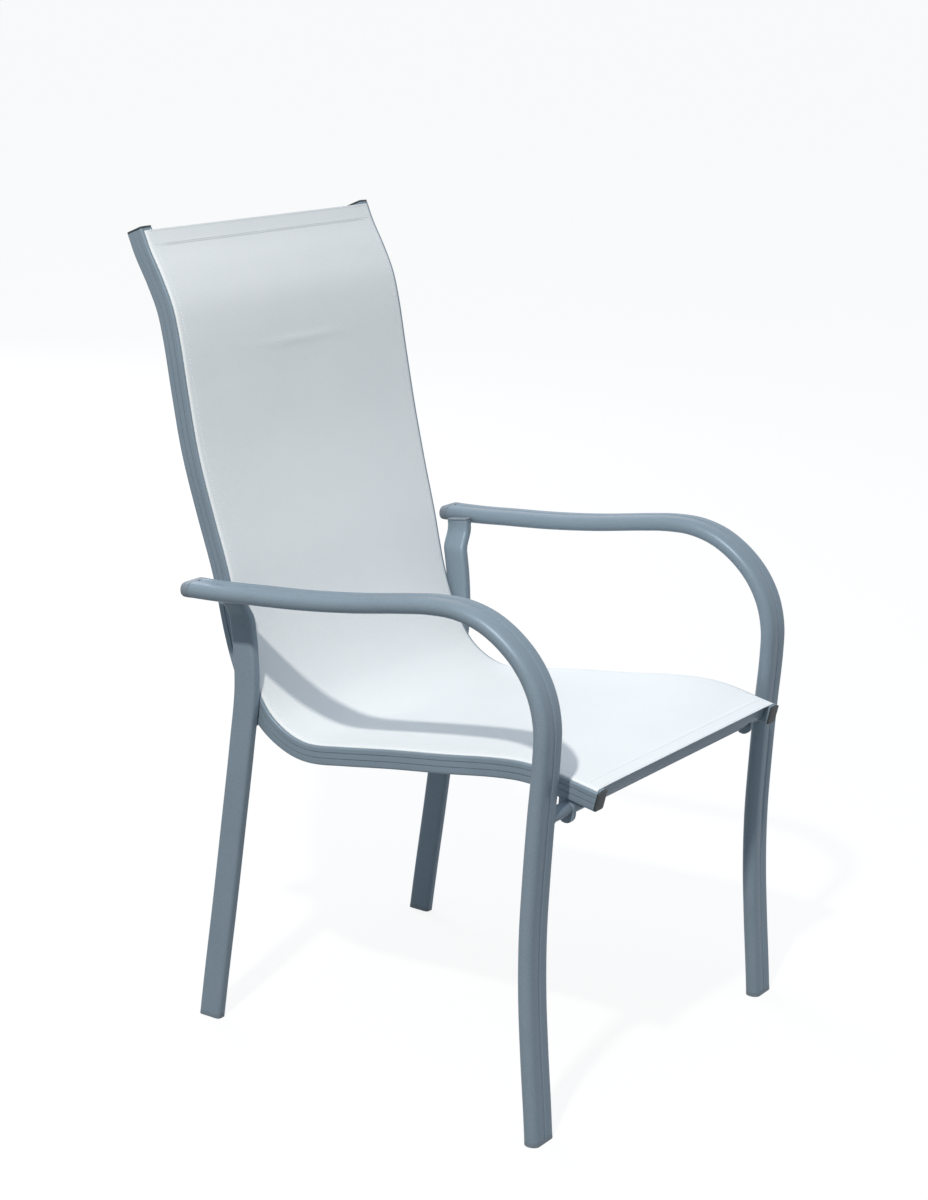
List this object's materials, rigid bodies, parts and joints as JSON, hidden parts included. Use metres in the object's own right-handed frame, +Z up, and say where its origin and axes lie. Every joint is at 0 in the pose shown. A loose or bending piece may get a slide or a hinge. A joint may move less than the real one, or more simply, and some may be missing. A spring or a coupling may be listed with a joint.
{
  "type": "sling patio chair",
  "caption": "High-back sling patio chair: bent flat-oval arm and leg frames, a slotted sling rail on each side, and a white cloth sling held in the rails.",
  "frame": {"origin": "middle of the footprint, on the floor", "axes": "+Z up, -Y is the way the sitter faces, +X to the sitter's left"},
  "size_m": [0.6474, 0.7174, 0.9984],
  "materials": {
    "coated_aluminium": "satin silver-grey powder coat on aluminium tube",
    "sling_cloth": "fine open weave of coated polyester yarn",
    "moulded_plastic": "moulded, dark grey",
    "rod_plastic": "extruded round rod",
    "plated_steel": "zinc plated"
  },
  "bodies": {
    "root": {"arm_and_front_leg_right": "coated_aluminium", "arm_and_front_leg_left": "coated_aluminium", "rear_leg_right": "coated_aluminium", "rear_leg_left": "coated_aluminium", "sling_rail_right": "coated_aluminium", "sling_rail_left": "coated_aluminium", "edge_rod_right": "rod_plastic", "edge_rod_left": "rod_plastic", "front_glide_right": "moulded_plastic", "front_glide_left": "moulded_plastic", "rear_glide_right": "moulded_plastic", "rear_glide_left": "moulded_plastic", "arm_plug_right": "moulded_plastic", "arm_plug_left": "moulded_plastic", "rear_leg_cap_right": "moulded_plastic", "rear_leg_cap_left": "moulded_plastic", "rail_front_cap_right": "moulded_plastic", "rail_front_cap_left": "moulded_plastic", "rail_top_cap_right": "moulded_plastic", "rail_top_cap_left": "moulded_plastic", "rail_bracket_right": "coated_aluminium", "rail_bracket_left": "coated_aluminium", "front_spreader_plug_right": "moulded_plastic", "front_spreader_plug_left": "moulded_plastic", "top_spreader_plug_right": "moulded_plastic", "top_spreader_plug_left": "moulded_plastic", "rail_bolt_right": "plated_steel", "rail_bolt_left": "plated_steel", "rivet_nut_right": "plated_steel", "rivet_nut_left": "plated_steel", "bracket_screw_right": "plated_steel", "bracket_screw_left": "plated_steel", "sling": "sling_cloth", "front_cross_tube": "coated_aluminium", "rear_cross_tube": "coated_aluminium", "front_spreader_bar": "coated_aluminium", "top_spreader_bar": "coated_aluminium"}
  },
  "joints": []
}
